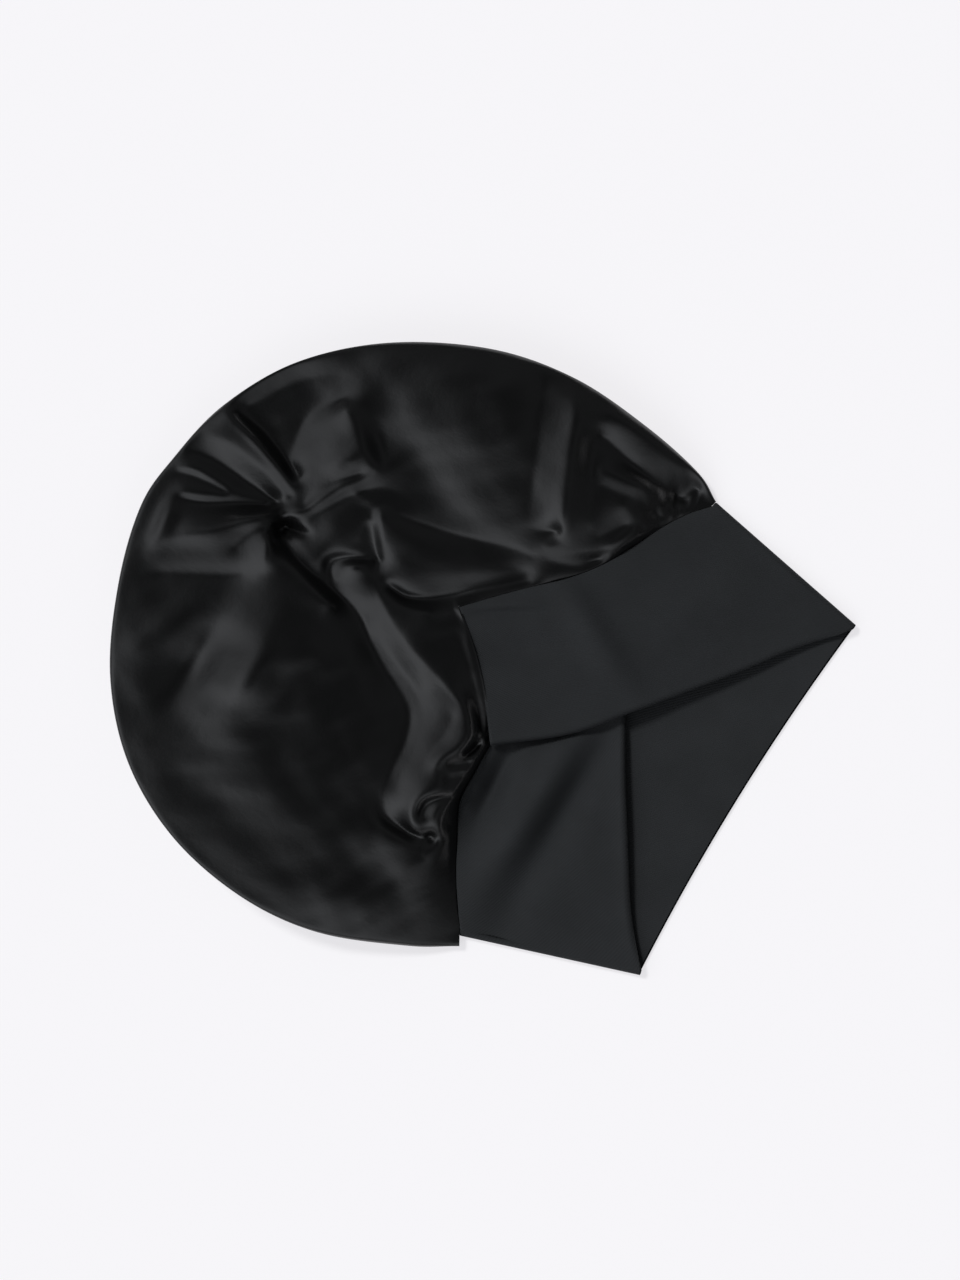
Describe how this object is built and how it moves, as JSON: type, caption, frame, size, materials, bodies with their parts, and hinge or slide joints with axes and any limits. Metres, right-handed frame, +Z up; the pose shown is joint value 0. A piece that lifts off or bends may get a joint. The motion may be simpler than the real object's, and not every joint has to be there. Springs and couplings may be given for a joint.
{
  "type": "silk bonnet",
  "caption": "Black satin sleep bonnet lying on its back: a gathered, puffed crown sewn to a wide matte stretch band that crosses over at the front.",
  "frame": {"origin": "middle of the footprint on the surface it lies on", "axes": "+Z up from the surface, +Y from the band's rim to the far end of the crown, +X to the right of that"},
  "size_m": [0.336, 0.368, 0.0381],
  "materials": {
    "satin": "smooth black satin with a soft sheen",
    "stretch_knit": "matte black fine twill-faced stretch fabric"
  },
  "bodies": {
    "root": {"crown_front": "satin", "crown_back": "satin", "band": "stretch_knit"}
  },
  "joints": []
}
